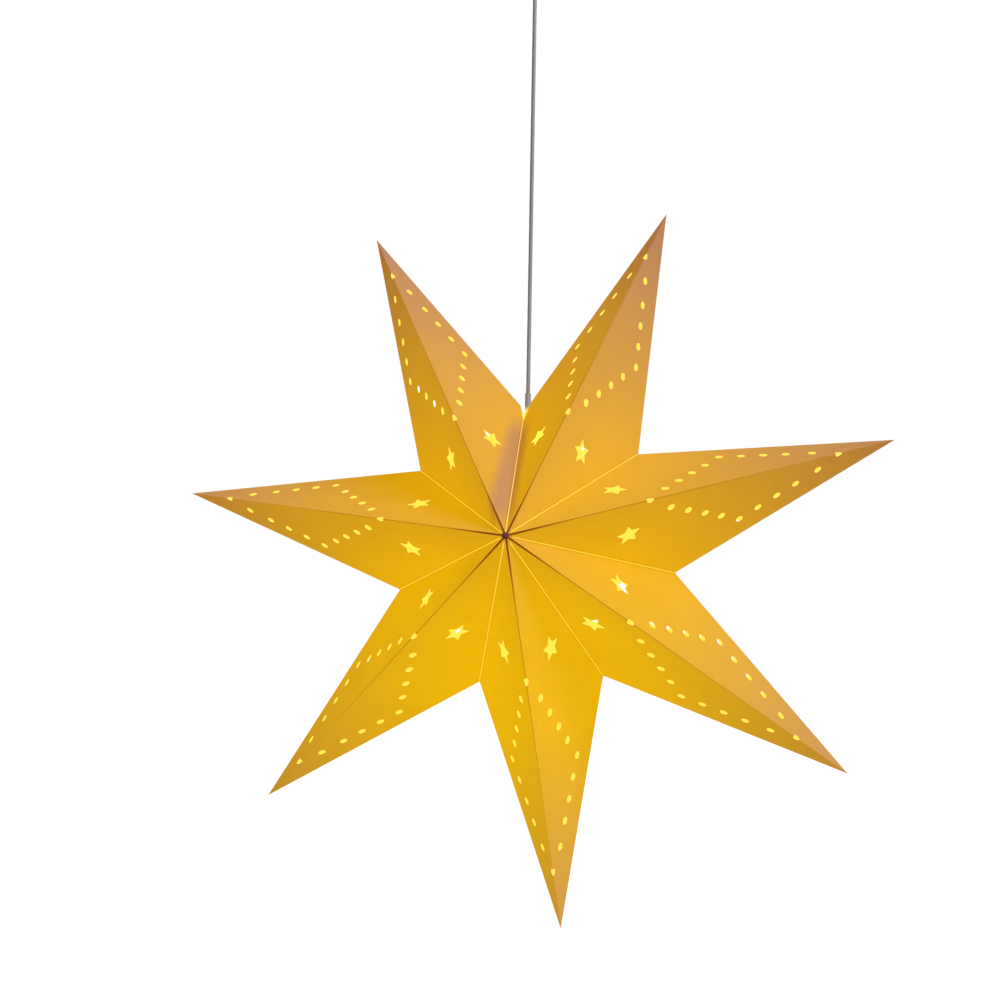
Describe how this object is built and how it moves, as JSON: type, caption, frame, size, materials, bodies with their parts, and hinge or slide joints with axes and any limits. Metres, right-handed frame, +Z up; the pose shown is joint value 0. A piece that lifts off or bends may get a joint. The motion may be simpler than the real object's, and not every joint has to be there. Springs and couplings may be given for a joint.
{
  "type": "folded paper star lantern",
  "caption": "Hanging star lantern of folded, punched card points glued flange to flange, lit from inside by a bulb in a lampholder on a straight cord that ends in a ceiling rose.",
  "frame": {"origin": "on the ceiling face of the rose, on the line of the cord", "axes": "+Z up towards the ceiling, the star's front towards -Y, +X to the right as seen from the front"},
  "size_m": [0.6797, 0.3348, 0.9886],
  "materials": {
    "card": "matt, lets light through",
    "adhesive_strip": "matt",
    "thread": "matt",
    "cord_sheath": "satin",
    "holder_plastic": "satin",
    "core_insulation": "gloss",
    "contact_block": "matt",
    "contact_metal": "nickel plated",
    "bulb_diffuser": "frosted",
    "rose_plastic": "satin",
    "plate_steel": "zinc plated",
    "screw_steel": "zinc plated",
    "terminal_plastic": "matt"
  },
  "bodies": {
    "root": {"paper_point_1": "card", "paper_point_2": "card", "paper_point_3": "card", "paper_point_4": "card", "paper_point_5": "card", "paper_point_6": "card", "paper_point_7": "card", "closing_strip_front": "adhesive_strip", "closing_strip_back": "adhesive_strip", "hub_tie_front": "thread", "hub_tie_back": "thread", "cord": "cord_sheath", "holder_cord_grip": "holder_plastic", "holder_grip_nut": "holder_plastic", "holder_dome": "holder_plastic", "holder_body": "holder_plastic", "holder_cores": "core_insulation", "holder_insert": "contact_block", "holder_thread_shell": "contact_metal", "holder_centre_contact": "contact_metal", "bulb": "bulb_diffuser", "rose_cover": "rose_plastic", "rose_plate": "plate_steel", "rose_cover_screws": "screw_steel", "rose_cord_grip": "rose_plastic", "rose_grip_nut": "rose_plastic", "rose_cores": "core_insulation", "terminal_block": "terminal_plastic", "terminal_screws": "screw_steel"}
  },
  "joints": []
}
